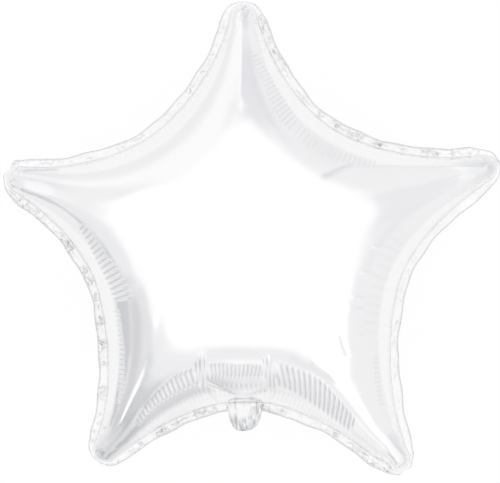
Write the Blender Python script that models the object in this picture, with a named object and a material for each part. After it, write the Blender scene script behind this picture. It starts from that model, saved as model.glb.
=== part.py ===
"""Star foil balloon: two star-shaped panels of metallised film, welded round the edge and inflated.

Metres, +Z up. The balloon lies on the crown of its back panel, and its front panel faces up.
+Y runs towards the top tip, and the filling neck is at -Y. The origin is the middle of the small
flat spot on which the balloon rests.
"""
import math

import bmesh
import bpy
import numpy as np
from mathutils.geometry import interpolate_bezier

NAME = "star_balloon"

# Driving dimensions, in metres
TIP_REACH = 0.234           # centre to the end of the inflated arm, before each arm's own factor
VALLEY_REACH = 0.138        # centre to the weld line between two arms, before its own factor
TIP_ROUNDING = 0.0121       # radius of the weld line round a tip
HALF_THICKNESS = 0.088      # weld plane to the crown of one panel
MARGIN_WIDTH = 0.0082       # flat welded margin outside the inflated outline
TIP_MARGIN_WIDTH = 0.0021   # of the margin round the tips, where the film bulges over it
MARGIN_THICKNESS = 0.0005   # two films welded together
MARGIN_WAVE = 0.0011        # height of the ripples of the margin
MARGIN_WAVE_LENGTH = 0.024  # from one ripple of the margin to the next
PLEAT_PITCH = 0.0044        # one pleat to the next, along the weld line
PLEAT_DEPTH = 0.0016        # top of a pleat to the bottom of its groove
PLEAT_START = 0.011         # from the weld line to where the pleats begin
PLEAT_LENGTH = 0.026        # of a pleat, from there towards the crown
TAB_WIDTH = 0.033           # filling tab at the end of the neck
TAB_LENGTH = 0.019          # of the tab, past the margin
TAB_OFFSET = -0.002         # middle of the tab, sideways from the middle of the neck's valley
TAB_THICKNESS = 0.0016      # of the tab's folded layers
NECK_THICKNESS = 0.009      # of the neck where it leaves the weld line
NECK_CREASE_GAP = 0.062     # between the two creases above the neck
NECK_CREASE_OFFSET = -0.011 # middle of the two, sideways from the middle of the neck's valley
NECK_CREASE_DEPTH = 0.0030
NECK_CREASE_WIDTH = 0.0030
NECK_CREASE_LENGTH = 0.042
NECK_CREASE_FADE = 0.015    # over which a crease dies away towards the crown
REST_SPOT_RADIUS = 0.018    # flat spot on the crown of the back panel

# Directions in degrees from +X, and how far each arm and valley reaches against the size above
ARMS = (
    (91.6, 0.989),
    (161.2, 0.995),
    (233.0, 0.979),
    (306.2, 1.013),
    (381.0, 1.024),
)
VALLEYS = (
    (127.2, 1.035),
    (193.5, 1.024),
    (268.8, 0.943),
    (347.3, 0.991),
    (417.8, 1.013),
)
NECK_VALLEY = 2                     # the valley that the filling neck comes out of
FLANK_SLOPE = math.radians(12.4)    # flank of an arm against its axis, where the tip's rounding starts
VALLEY_HANDLE = 0.32                # handles of the flank's curve, as a share of its chord
FLANK_HANDLE = 0.31
MARGIN_NARROWS_FROM = 0.8           # as a share of a flank's length from the valley

# Mesh: a sphere's meridians are the columns, and its parallels are the rings
PLEATED_COLUMNS = 28                # of each flank, two to a pleat, counted from the valley
PLAIN_COLUMNS = 8                   # of each flank, from there to the tip
CROWN_STEP = 4                      # one column in this many runs on over the crown
PLEATED_STATIONS = (0.05, 0.12, 0.19, 0.27)
CROWN_STATIONS = (0.36, 0.47, 0.58, 0.69, 0.80, 0.90, 1.0)
FLANK_COLUMNS = PLEATED_COLUMNS + PLAIN_COLUMNS
COLUMNS = 2 * len(ARMS) * FLANK_COLUMNS
FILM_DEGREE = 20                    # highest power in the film's height

PANEL_POWER = 0.45                  # of the film's height: 0.5 gives a round section, 1 a flat slope
EDGE_FADE_POWER = 12                # how soon a correction made at the weld line dies away inwards


def clear_objects():
    """Removes whatever the file holds."""
    for item in list(bpy.data.objects):
        bpy.data.objects.remove(item, do_unlink=True)


def polar(angle, reach):
    """Point at an angle in degrees and a distance from the centre."""
    return reach * np.array([math.cos(math.radians(angle)), math.sin(math.radians(angle))])


def bezier(start, handle_a, handle_b, end, count):
    """Points of a cubic curve in the weld plane."""
    knots = [(*point, 0.0) for point in (start, handle_a, handle_b, end)]
    return np.array([point[:2] for point in interpolate_bezier(*knots, count)])


def flank_outline(arm, valley):
    """Weld line from a valley to a tip: a curve, then half of the tip's rounding."""
    arm_angle, arm_factor = arm
    valley_angle, valley_factor = valley
    side = math.copysign(1.0, valley_angle - arm_angle)
    reach = TIP_REACH * arm_factor
    along = polar(arm_angle, 1.0)
    across = polar(arm_angle + 90 * side, 1.0)
    start = polar(valley_angle, VALLEY_REACH * valley_factor)
    cap_turn = np.linspace(math.pi / 2 - FLANK_SLOPE, 0, 24)
    cap_along = reach - TIP_ROUNDING + TIP_ROUNDING * np.cos(cap_turn)
    cap_across = TIP_ROUNDING * np.sin(cap_turn)
    cap = cap_along[:, None] * along + cap_across[:, None] * across
    shoulder = cap[0]
    chord = np.linalg.norm(shoulder - start)
    valley_tangent = polar(valley_angle - 90 * side, 1.0)
    flank_back = -math.cos(FLANK_SLOPE) * along + math.sin(FLANK_SLOPE) * across
    flank = bezier(
        start,
        start + VALLEY_HANDLE * chord * valley_tangent,
        shoulder + FLANK_HANDLE * chord * flank_back,
        shoulder,
        120,
    )
    return np.vstack([flank[:-1], cap])


def lengths_along(points):
    """Distance of each point of an open line from its first point."""
    steps = np.linalg.norm(np.diff(points, axis=0), axis=1)
    return np.concatenate([[0.0], np.cumsum(steps)])


def flank_columns(arm, valley):
    """Feet of one flank's columns on the weld line, with what each column needs to know.

    Gives the feet, their distances along the weld line from the valley, those as a share of the
    flank, the points that bend the columns over, and their ends on the hub, the circle of the
    rest spot.
    """
    outline = flank_outline(arm, valley)
    length = lengths_along(outline)
    pleated_length = PLEATED_COLUMNS * PLEAT_PITCH / 2
    pleated = np.arange(PLEATED_COLUMNS) * PLEAT_PITCH / 2
    closing_in = 1 - np.linspace(1, 0, PLAIN_COLUMNS + 1) ** 1.4
    plain = pleated_length + (length[-1] - pleated_length) * closing_in
    distance = np.concatenate([pleated, plain])
    feet = np.column_stack([np.interp(distance, length, outline[:, axis]) for axis in (0, 1)])
    share = distance / length[-1]

    arm_angle = arm[0]
    side = math.copysign(1.0, valley[0] - arm_angle)
    along = polar(arm_angle, 1.0)
    across = polar(arm_angle + 90 * side, 1.0)
    foot_along = feet @ along
    foot_across = feet @ across
    tip_along = TIP_REACH * arm[1] - 2 * TIP_ROUNDING
    bend_along = foot_along[0] / 2 * (1 - share) + tip_along * share
    bend_across = foot_across * (0.5 * (1 - share) + 0.15 * share)
    bends = bend_along[:, None] * along + bend_across[:, None] * across
    turn = 1 - np.arange(FLANK_COLUMNS + 1) / FLANK_COLUMNS
    hub_angle = np.radians(arm_angle + (valley[0] - arm_angle) * turn)
    hub = REST_SPOT_RADIUS * np.column_stack([np.cos(hub_angle), np.sin(hub_angle)])
    return feet, distance, share, bends, hub


def star_columns():
    """All the columns round the star, anticlockwise from the first arm's tip."""
    blocks = []
    for index, valley in enumerate(VALLEYS):
        arm = ARMS[index]
        following = ARMS[(index + 1) % len(ARMS)]
        if following[0] < arm[0]:
            following = (following[0] + 360, following[1])
        towards_valley = [part[::-1] for part in flank_columns(arm, valley)]
        towards_tip = flank_columns(following, valley)
        blocks.append([part[:-1] for part in towards_valley])
        blocks.append([part[:-1] for part in towards_tip])
    return [np.concatenate(parts) for parts in zip(*blocks)]


def film_height(outline):
    """Height of a film blown up over the outline, as a function of place, 1 over the centre.

    A soap film over an outline bulges as a paraboloid plus a sum of harmonic waves. The waves
    here are those that bring it down to nothing all round the weld line.
    """
    scale = np.linalg.norm(outline, axis=1).max()

    def waves(points):
        radius = np.linalg.norm(points, axis=1) / scale
        angle = np.arctan2(points[:, 1], points[:, 0])
        columns = [np.ones_like(radius)]
        for degree in range(1, FILM_DEGREE + 1):
            columns.append(radius ** degree * np.cos(degree * angle))
            columns.append(radius ** degree * np.sin(degree * angle))
        return np.column_stack(columns), radius ** 2

    matrix, bowl = waves(outline)
    weights = np.linalg.lstsq(matrix, bowl, rcond=None)[0]

    def height(points):
        flat = points.reshape(-1, 2)
        matrix, bowl = waves(flat)
        film = (matrix @ weights - bowl) / weights[0]
        return film.reshape(points.shape[:-1])

    return height


def smooth_step(value):
    """0 below 0, 1 above 1 and smooth between."""
    value = np.clip(value, 0, 1)
    return value * value * (3 - 2 * value)


def panel_surface(feet, distance, bends, hub):
    """Points of the front panel above the weld plane: one row a column, one step a station."""
    stations = np.array((0.0,) + PLEATED_STATIONS + CROWN_STATIONS)[None, :, None]
    plan = (1 - stations) ** 2 * feet[:, None] + 2 * stations * (1 - stations) * bends[:, None]
    plan = plan + stations ** 2 * hub[:, None]

    film = film_height(feet)
    bulge = film(plan)
    left_over = film(feet)[:, None] * (1 - stations[..., 0]) ** EDGE_FADE_POWER
    bulge = np.clip(bulge - left_over, 0, 1)
    surface = np.dstack([plan, HALF_THICKNESS * bulge ** PANEL_POWER])
    return surface + pleat_offsets(surface, distance)


def surface_normals(surface):
    """Unit normals of a grid of points that closes on itself along its first axis."""
    round_step = np.roll(surface, -1, axis=0) - np.roll(surface, 1, axis=0)
    inward_step = np.gradient(surface, axis=1)
    normals = np.cross(inward_step, round_step)
    normals *= np.sign(normals[..., 2:]) + (normals[..., 2:] == 0)
    return normals / np.maximum(np.linalg.norm(normals, axis=2, keepdims=True), 1e-12)


def pleat_offsets(surface, distance):
    """Pleats across the shoulder of the valleys, where the blown-up film has length to spare."""
    inward = np.linalg.norm(surface[..., :2] - surface[:, :1, :2], axis=2)
    along = (inward - PLEAT_START) / PLEAT_LENGTH
    fade_in = smooth_step(along * 3 + 0.5)
    fade_out = smooth_step((1 - along) * 2 + 0.5)
    pleated_length = PLEATED_COLUMNS * PLEAT_PITCH / 2
    fade_round = smooth_step((pleated_length - distance) / (4 * PLEAT_PITCH))
    up_or_down = np.where(np.arange(len(distance)) % 2 == 0, 0.5, -0.5)
    size = PLEAT_DEPTH * fade_in * fade_out * (fade_round * up_or_down)[:, None]
    return surface_normals(surface) * size[..., None]


def neck_place(points):
    """Place of points against the neck: across it, and out from the centre."""
    neck_angle = VALLEYS[NECK_VALLEY][0]
    across = points @ polar(neck_angle + 90, 1.0)
    out = points @ polar(neck_angle, 1.0)
    return across, out


def neck_creases(surface):
    """Depth of the two creases that run up from the neck, with the apron between them."""
    across, out = neck_place(surface[..., :2])
    off_line = np.abs(np.abs(across - NECK_CREASE_OFFSET) - NECK_CREASE_GAP / 2)
    top = VALLEY_REACH - NECK_CREASE_LENGTH
    run = smooth_step((out - top) / NECK_CREASE_FADE) * smooth_step((VALLEY_REACH - out) / NECK_CREASE_WIDTH)
    return NECK_CREASE_DEPTH * run * np.exp(-(off_line / NECK_CREASE_WIDTH) ** 2)


def outward_directions(feet):
    """Unit directions out of the star, square to the weld line."""
    step = np.roll(feet, -1, axis=0) - np.roll(feet, 1, axis=0)
    outward = np.column_stack([step[:, 1], -step[:, 0]])
    return outward / np.linalg.norm(outward, axis=1, keepdims=True)


def margin_edges(feet, share):
    """Outer edge of the welded margin, with its half thickness at the weld line and at the edge."""
    across, out = neck_place(feet)
    beside = np.clip(np.abs(across - TAB_OFFSET) / (TAB_WIDTH / 2), 0, 1)
    tab = (1 - beside ** 3) ** (1 / 3) * (out > 0)
    narrowing = smooth_step((share - MARGIN_NARROWS_FROM) / (1 - MARGIN_NARROWS_FROM))
    width = MARGIN_WIDTH + (TIP_MARGIN_WIDTH - MARGIN_WIDTH) * narrowing + TAB_LENGTH * tab
    turns = lengths_along(np.vstack([feet, feet[:1]]))
    waves = max(1, round(turns[-1] / MARGIN_WAVE_LENGTH))
    phase = 2 * math.pi * waves * turns[:-1] / turns[-1]
    ripple = MARGIN_WAVE * (np.sin(phase) + 0.5 * np.sin(2.6 * phase + np.cos(phase / 3)))
    outer = np.column_stack([feet + width[:, None] * outward_directions(feet), ripple * (1 - 0.7 * tab)])
    thick_tab = smooth_step(tab * 2)
    inner_half = MARGIN_THICKNESS / 2 + (NECK_THICKNESS - MARGIN_THICKNESS) / 2 * thick_tab
    outer_half = MARGIN_THICKNESS / 2 + (TAB_THICKNESS - MARGIN_THICKNESS) / 2 * thick_tab
    return outer, inner_half, outer_half


def balloon_rings():
    """Rings of points from the back panel's hub, round the rim, to the front panel's hub.

    With them it gives the middle of each panel, and all of it is raised to rest on height 0.
    """
    feet, distance, share, bends, hub = star_columns()
    panel = panel_surface(feet, distance, bends, hub)
    panel[..., 2] -= neck_creases(panel)
    outer, weld_half, outer_half = margin_edges(feet, share)
    inward = np.linspace(0, 1, panel.shape[1])
    panel[..., 2] += weld_half[:, None] * (1 - inward) ** EDGE_FADE_POWER

    front = panel.swapaxes(0, 1)
    back = front * (1, 1, -1)
    rest_depth = front[-1, :, 2].min()
    back[..., 2] = np.maximum(back[..., 2], -rest_depth)
    edge = np.column_stack([np.zeros((len(feet), 2)), outer_half])
    rings = np.concatenate([back[::-1], [outer - edge, outer + edge], front])
    rings[..., 2] += rest_depth
    return rings, (0, 0, 0), (0, 0, rest_depth + HALF_THICKNESS)


def build_mesh():
    """Moves the points of a sphere to the balloon's rings, and thins out the crown's columns."""
    rings, bottom, top = balloon_rings()
    shape = bmesh.new()
    bmesh.ops.create_uvsphere(shape, u_segments=COLUMNS, v_segments=len(rings) + 1, radius=1.0)
    place = {}
    for vertex in shape.verts:
        ring = round((math.asin(max(-1, min(1, vertex.co.z))) / math.pi + 0.5) * (len(rings) + 1)) - 1
        column = round(math.atan2(vertex.co.y, vertex.co.x) / (2 * math.pi) * COLUMNS) % COLUMNS
        place[vertex] = (column, ring)
    for vertex, (column, ring) in place.items():
        if ring < 0:
            vertex.co = bottom
        elif ring >= len(rings):
            vertex.co = top
        else:
            vertex.co = rings[ring][column]

    crown = len(CROWN_STATIONS)
    spare = []
    for edge in shape.edges:
        (column, ring), (other_column, other_ring) = (place[vertex] for vertex in edge.verts)
        low, high = sorted((ring, other_ring))
        if low == high or not (high <= crown or low >= len(rings) - crown - 1):
            continue
        column = column if 0 <= ring < len(rings) else other_column
        if column % CROWN_STEP:
            spare.append(edge)
    bmesh.ops.dissolve_edges(shape, edges=spare, use_verts=True)
    bmesh.ops.triangulate(shape, faces=shape.faces[:])
    bmesh.ops.recalc_face_normals(shape, faces=shape.faces[:])
    mesh = bpy.data.meshes.new(NAME)
    shape.to_mesh(mesh)
    shape.free()
    return mesh


def film_material():
    """White metallised film."""
    material = bpy.data.materials.new("metallised_film")
    material.use_nodes = True
    finish = material.node_tree.nodes["Principled BSDF"]
    finish.inputs["Base Color"].default_value = (0.90, 0.90, 0.92, 1.0)
    finish.inputs["Metallic"].default_value = 0.6
    finish.inputs["Roughness"].default_value = 0.16
    return material


def build():
    """Builds the balloon in a collection of its own."""
    clear_objects()
    collection = bpy.data.collections.new("star_foil_balloon")
    bpy.context.scene.collection.children.link(collection)
    mesh = build_mesh()
    mesh.materials.append(film_material())
    mesh.shade_smooth()
    balloon = bpy.data.objects.new(NAME, mesh)
    collection.objects.link(balloon)


build()
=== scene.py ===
"""Looks of an inflated star balloon of white metallised film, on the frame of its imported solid.

Metres, +Z up. The balloon lies on the crown of its back panel and the camera looks down on its
front panel, with +Y, the top arm's direction, upwards in the picture.
"""

import logging
import math
from dataclasses import dataclass, field
from enum import Enum

import bpy
import numpy as np
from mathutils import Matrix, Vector
from mathutils.geometry import interpolate_bezier
from mathutils.kdtree import KDTree


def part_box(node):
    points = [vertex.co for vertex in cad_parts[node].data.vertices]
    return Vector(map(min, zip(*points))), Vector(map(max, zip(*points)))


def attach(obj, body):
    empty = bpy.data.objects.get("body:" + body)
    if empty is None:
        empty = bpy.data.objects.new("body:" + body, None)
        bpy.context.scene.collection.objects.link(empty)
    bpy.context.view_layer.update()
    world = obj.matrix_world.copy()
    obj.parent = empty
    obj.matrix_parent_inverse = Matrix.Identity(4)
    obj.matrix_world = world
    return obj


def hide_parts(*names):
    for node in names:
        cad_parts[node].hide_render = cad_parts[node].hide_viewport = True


LOG = logging.getLogger("star_balloon")
NODE = "star_balloon"
BODY = "root"
MM = 0.001

# The photograph: its size and the balloon's centre in pixels, its scale in the weld plane and the
# camera's distance from that plane, in metres.
PHOTO_SIZE = (500, 483)
PHOTO_MIDDLE = (250.0, 258.0)
METRES_PER_PIXEL = 0.909e-3
PHOTO_DISTANCE = 2.51

# What is added to a tree's seed, or stands for it, where a second noise has to differ.
DEPTH_SEED_STEP = 5.0
PATCH_SEED_STEP = 7.0
SPOT_SEED = 3.0


def from_photo(column: float, row: float) -> np.ndarray:
    """Place in the weld plane of a point of the photograph.

    Args:
        column: Pixels from the photograph's left edge.
        row: Pixels from its top edge.

    Returns:
        X and Y in metres.
    """
    return np.array([column - PHOTO_MIDDLE[0], PHOTO_MIDDLE[1] - row]) * METRES_PER_PIXEL


def polar(angle: float, reach: float) -> np.ndarray:
    """Point at an angle in degrees from +X and a distance from the centre."""
    return reach * np.array([math.cos(math.radians(angle)), math.sin(math.radians(angle))])


def smooth_step(value: np.ndarray) -> np.ndarray:
    """0 below 0, 1 above 1 and smooth between."""
    held = np.clip(value, 0, 1)
    return held * held * (3 - 2 * held)


def lengths_along(points: np.ndarray) -> np.ndarray:
    """Distance of each point of an open line from its first point."""
    steps = np.linalg.norm(np.diff(points, axis=0), axis=1)
    return np.concatenate([[0.0], np.cumsum(steps)])


class Side(Enum):
    """The two panels of the balloon, with the way that each bulges."""

    FRONT = 1
    BACK = -1


@dataclass(frozen=True)
class Spoke:
    """An arm or a valley: its direction in degrees from +X and its reach from the centre."""

    angle: float
    reach: float


@dataclass
class Columns:
    """Lines that run from the weld line over a panel to its hub, anticlockwise from a tip.

    The run is the distance along the weld line from the column's valley, negative before it.
    """

    feet: np.ndarray
    run: np.ndarray
    valley: np.ndarray
    share: np.ndarray
    bends: np.ndarray
    hub: np.ndarray

    def parts(self) -> tuple[np.ndarray, ...]:
        """The columns' values, in the order of the fields."""
        return self.feet, self.run, self.valley, self.share, self.bends, self.hub


@dataclass
class StarOutline:
    """The weld line of the star: five arms and five valleys with smooth flanks between."""

    arms: tuple[Spoke, ...] = (
        Spoke(91.6, 0.2314),
        Spoke(161.2, 0.2328),
        Spoke(233.0, 0.2291),
        Spoke(306.2, 0.2370),
        Spoke(381.0, 0.2396),
    )
    valleys: tuple[Spoke, ...] = (
        Spoke(127.2, 0.1428),
        Spoke(193.5, 0.1413),
        Spoke(268.8, 0.1301),
        Spoke(347.3, 0.1368),
        Spoke(417.8, 0.1398),
    )
    tip_rounding: float = 0.0121
    flank_slope: float = math.radians(12.4)
    valley_handle: float = 0.32
    flank_handle: float = 0.31
    cap_points: int = 40
    curve_points: int = 400
    hub_radius: float = 0.018
    valley_bend: float = 0.5
    tip_bend: float = 0.15
    pleated_run: float = 0.116
    pleated_columns: int = 150
    plain_columns: int = 36

    def flank(self, arm: Spoke, valley: Spoke) -> np.ndarray:
        """Weld line from a valley to a tip: a curve, then half of the tip's rounding.

        Args:
            arm: The arm whose tip the flank ends at.
            valley: The valley that it starts from.

        Returns:
            Points of the flank, from the valley.
        """
        side = math.copysign(1.0, valley.angle - arm.angle)
        along = polar(arm.angle, 1.0)
        across = polar(arm.angle + 90 * side, 1.0)
        start = polar(valley.angle, valley.reach)
        turn = np.linspace(math.pi / 2 - self.flank_slope, 0, self.cap_points)
        cap_along = arm.reach - self.tip_rounding * (1 - np.cos(turn))
        cap = cap_along[:, None] * along + self.tip_rounding * np.sin(turn)[:, None] * across
        chord = np.linalg.norm(cap[0] - start)
        leaving = polar(valley.angle - 90 * side, self.valley_handle * chord)
        arriving = math.sin(self.flank_slope) * across - math.cos(self.flank_slope) * along
        knots = (start, start + leaving, cap[0] + self.flank_handle * chord * arriving, cap[0])
        curve = interpolate_bezier(*[(*knot, 0.0) for knot in knots], self.curve_points)
        return np.vstack([np.array([point[:2] for point in curve[:-1]]), cap])

    def flank_columns(self, arm: Spoke, valley: Spoke, index: int) -> Columns:
        """Columns of one flank, from its valley to its tip.

        Args:
            arm: The flank's arm.
            valley: The flank's valley.
            index: The valley's place in the list of valleys.

        Returns:
            The flank's columns, with their runs counted from the valley.
        """
        outline = self.flank(arm, valley)
        length = lengths_along(outline)
        pleated = np.linspace(0, self.pleated_run, self.pleated_columns, endpoint=False)
        plain = np.linspace(self.pleated_run, length[-1], self.plain_columns + 1)
        run = np.concatenate([pleated, plain])
        feet = np.column_stack([np.interp(run, length, outline[:, axis]) for axis in (0, 1)])
        share = run / length[-1]
        side = math.copysign(1.0, valley.angle - arm.angle)
        along = polar(arm.angle, 1.0)
        across = polar(arm.angle + 90 * side, 1.0)
        tip = arm.reach - 2 * self.tip_rounding
        bend_along = (feet[0] @ along) / 2 * (1 - share) + tip * share
        bend_across = (feet @ across) * (self.valley_bend * (1 - share) + self.tip_bend * share)
        bends = bend_along[:, None] * along + bend_across[:, None] * across
        turn = 1 - np.linspace(0, 1, len(run))
        angle = np.radians(arm.angle + (valley.angle - arm.angle) * turn)
        hub = self.hub_radius * np.column_stack([np.cos(angle), np.sin(angle)])
        return Columns(feet, run, np.full(len(run), index), share, bends, hub)

    def columns(self) -> Columns:
        """All the columns round the star, anticlockwise from the first arm's tip."""
        blocks = []
        for index, valley in enumerate(self.valleys):
            arm = self.arms[index]
            following = self.arms[(index + 1) % len(self.arms)]
            if following.angle < arm.angle:
                following = Spoke(following.angle + 360, following.reach)
            before = self.flank_columns(arm, valley, index)
            before.run = -before.run
            after = self.flank_columns(following, valley, index)
            blocks.append([part[:0:-1] for part in before.parts()])
            blocks.append([part[:-1] for part in after.parts()])
        return Columns(*(np.concatenate(parts) for parts in zip(*blocks)))


@dataclass(frozen=True)
class Neck:
    """The filling neck: how far it puffs the weld line, and the tab at its end."""

    valley: int = 2
    middle: float = -0.002
    width: float = 0.033
    length: float = 0.019
    half_thickness: float = 0.0045
    tab_half_thickness: float = 0.0012
    swell_width: float = 0.058
    swell_top: float = 1.15

    def share(self, columns: Columns) -> np.ndarray:
        """1 in the middle of the neck and 0 beside it, with a rounded end."""
        beside = np.abs(columns.run - self.middle) / (self.width / 2)
        return (1 - np.clip(beside, 0, 1) ** 3) ** (1 / 3) * (columns.valley == self.valley)

    def swell(self, columns: Columns) -> np.ndarray:
        """How far the neck parts the two films: 1 in its middle, falling softly to 0 beside it."""
        beside = np.abs(columns.run - self.middle) / (self.swell_width / 2)
        return smooth_step(self.swell_top - beside) * (columns.valley == self.valley)


@dataclass
class BlownFilm:
    """Height of a film blown up over the star, as a power of a soap film's height."""

    half_thickness: float = 0.088
    panel_power: float = 0.45
    edge_fade_power: float = 12
    degree: int = 20
    scale: float = field(init=False, default=1.0)
    weights: np.ndarray = field(init=False, default=None)

    def fit(self, feet: np.ndarray) -> None:
        """Finds the waves that bring the soap film down to nothing all round the weld line."""
        self.scale = np.linalg.norm(feet, axis=1).max()
        matrix, bowl = self._waves(feet)
        self.weights = np.linalg.lstsq(matrix, bowl, rcond=None)[0]

    def _waves(self, points: np.ndarray) -> tuple[np.ndarray, np.ndarray]:
        """Harmonic waves at some points, and the bowl that they have to meet at the weld line."""
        radius = np.linalg.norm(points, axis=1) / self.scale
        angle = np.arctan2(points[:, 1], points[:, 0])
        waves = [np.ones_like(radius)]
        for degree in range(1, self.degree + 1):
            waves.append(radius**degree * np.cos(degree * angle))
            waves.append(radius**degree * np.sin(degree * angle))
        return np.column_stack(waves), radius**2

    def bulge(self, points: np.ndarray) -> np.ndarray:
        """Soap film's height, 1 over the centre."""
        matrix, bowl = self._waves(points.reshape(-1, 2))
        return ((matrix @ self.weights - bowl) / self.weights[0]).reshape(points.shape[:-1])

    def surface(self, columns: Columns, stations: np.ndarray) -> np.ndarray:
        """Points of a panel above the weld plane.

        Args:
            columns: The columns to follow.
            stations: How far along each column to place a point, 0 at the weld line, 1 at the hub.

        Returns:
            An array of columns by stations by three.
        """
        step = stations[None, :, None]
        plan = (1 - step) ** 2 * columns.feet[:, None] + 2 * step * (1 - step) * columns.bends[:, None]
        plan = plan + step**2 * columns.hub[:, None]
        bulge = self.bulge(plan)
        left_over = self.bulge(columns.feet)[:, None] * (1 - step[..., 0]) ** self.edge_fade_power
        bulge = np.clip(bulge - left_over, 0, 1)
        return np.dstack([plan, self.half_thickness * bulge**self.panel_power])


@dataclass(frozen=True)
class PleatGroup:
    """Fine pleats across a stretch of a valley's shoulder, square to the weld line or leaning.

    Each knot gives a run along the weld line from the valley's middle, then how far in from the
    weld line the pleats start and end there. Rise and fall are how steeply they do, and the side
    fade is how many pitches the group takes to fade at its sides.
    """

    valley: int
    knots: tuple[tuple[float, float, float], ...]
    pitch: float
    depth: float
    lean: float = 0.0
    rise: float = 6.0
    fall: float = 5.0
    side_fade: float = 1.5

    def depth_at(self, places: "WeldPlaces") -> np.ndarray:
        """Depth of the pleats, fading at their ends and at the group's ends.

        Args:
            places: Where the panel's points stand against the weld line.

        Returns:
            Depth at each point, in metres.
        """
        runs, starts, ends = np.array(self.knots).T
        start = np.interp(places.run, runs, starts)
        length = np.interp(places.run, runs, ends) - start
        along = (places.inward - start) / length
        fades = smooth_step(along * self.rise) * smooth_step((1 - along) * self.fall)
        fading = self.side_fade * self.pitch
        sides = smooth_step((places.run - runs[0]) / fading)
        sides = sides * smooth_step((runs[-1] - places.run) / fading)
        return self.depth * fades * sides * (places.valley == self.valley)

    def phase_at(self, places: "WeldPlaces") -> np.ndarray:
        """Count of pleats at each point."""
        return (places.run + self.lean * places.inward) / self.pitch


@dataclass
class WeldPlaces:
    """The place on the weld line nearest to each of a panel's points."""

    run: np.ndarray
    inward: np.ndarray
    valley: np.ndarray

    @staticmethod
    def find(columns: Columns, plan: np.ndarray) -> "WeldPlaces":
        """Finds the nearest places.

        Args:
            columns: The columns, whose feet trace the weld line.
            plan: The points in plan, columns by stations by two.

        Returns:
            The run, the distance inward and the valley of each point.
        """
        feet = KDTree(len(columns.feet))
        for index, foot in enumerate(columns.feet):
            feet.insert((foot[0], foot[1], 0.0), index)
        feet.balance()
        flat = plan.reshape(-1, 2)
        nearest = np.array([feet.find((x, y, 0.0))[1] for x, y in flat])
        tangent = np.roll(columns.feet, -1, axis=0) - np.roll(columns.feet, 1, axis=0)
        tangent /= np.linalg.norm(tangent, axis=1)[:, None]
        away = flat - columns.feet[nearest]
        half_step = 0.5 * MM
        beside = np.clip((away * tangent[nearest]).sum(axis=1), -half_step, half_step)
        inward = np.linalg.norm(away - beside[:, None] * tangent[nearest], axis=1)
        shape = plan.shape[:2]
        run = (columns.run[nearest] + beside).reshape(shape)
        return WeldPlaces(run, inward.reshape(shape), columns.valley[nearest].reshape(shape))


@dataclass(frozen=True)
class Fold:
    """A straight fold in a panel, between two pixels of the photograph.

    It is a ridge where the height is above 0 and a groove where below. The mark is how dark a shade
    it paints into the film's colour along it, and the taper how steeply it starts and ends.
    """

    start: tuple[float, float]
    end: tuple[float, float]
    width: float
    height: float
    sharp: bool = True
    # Painted shade: how dark the film's colour is made along the fold.
    mark: float = 0.0
    taper: float = 6.0

    def profile_at(self, plan: np.ndarray) -> np.ndarray:
        """Share of the fold's height at some points of the photograph's plane."""
        start = from_photo(*self.start)
        way = from_photo(*self.end) - start
        length = np.linalg.norm(way)
        way = way / length
        offset = plan - start
        along = offset @ way / length
        across = np.abs(offset @ np.array([-way[1], way[0]])) / self.width
        profile = np.exp(-across) if self.sharp else np.exp(-across * across)
        taper = smooth_step(along * self.taper) * smooth_step((1 - along) * self.taper)
        return profile * taper


def soft_shade(
    start: tuple[float, float], end: tuple[float, float], width: float, mark: float, taper: float = 6.0
) -> Fold:
    """A soft shade painted into the film's colour along a line, with no height."""
    return Fold(start, end, width, 0.0, sharp=False, mark=mark, taper=taper)


# Pleat groups; their depth also sets the painted shade in their grooves.
LEFT_VALLEY_PLEATS = (
    PleatGroup(
        1,
        (
            (-0.060, 0.0160, 0.0215),
            (-0.028, 0.0105, 0.0226),
            (-0.013, 0.0110, 0.0275),
            (0.011, 0.0156, 0.0310),
        ),
        4.55 * MM,
        1.2 * MM,
        0.13,
    ),
    PleatGroup(
        1,
        ((0.012, 0.0125, 0.0175), (0.050, 0.0135, 0.0180), (0.100, 0.0115, 0.0150)),
        4.2 * MM,
        0.5 * MM,
    ),
)

BOTTOM_VALLEY_PLEATS = (
    PleatGroup(
        2,
        (
            (-0.1000, 0.0095, 0.0170),
            (-0.0940, 0.0117, 0.0200),
            (-0.0790, 0.0187, 0.0300),
            (-0.0640, 0.0209, 0.0360),
            (-0.0466, 0.0230, 0.0405),
            (-0.0340, 0.0245, 0.0415),
        ),
        4.0 * MM,
        1.2 * MM,
    ),
    PleatGroup(
        2,
        ((-0.095, 0.003, 0.010), (-0.040, 0.006, 0.020), (0.020, 0.005, 0.018), (0.090, 0.001, 0.006)),
        3.7 * MM,
        0.3 * MM,
    ),
    PleatGroup(
        2,
        (
            (-0.029, 0.0260, 0.0420),
            (-0.018, 0.0260, 0.0400),
            (-0.008, 0.0245, 0.0375),
            (0.012, 0.0255, 0.0375),
        ),
        2.75 * MM,
        0.7 * MM,
    ),
    PleatGroup(
        2,
        (
            (0.0180, 0.0210, 0.0430),
            (0.0360, 0.0170, 0.0420),
            (0.0547, 0.0120, 0.0390),
            (0.0710, 0.0080, 0.0310),
            (0.0850, 0.0060, 0.0250),
            (0.0980, 0.0050, 0.0170),
        ),
        4.2 * MM,
        0.8 * MM,
        0.4,
    ),
)

RIGHT_VALLEY_PLEATS = (
    PleatGroup(3, ((-0.105, 0.010, 0.015), (-0.055, 0.012, 0.018)), 4.0 * MM, 0.35 * MM),
    PleatGroup(3, ((-0.045, 0.013, 0.030), (0.050, 0.013, 0.028)), 7.5 * MM, 0.12 * MM),
)

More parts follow.
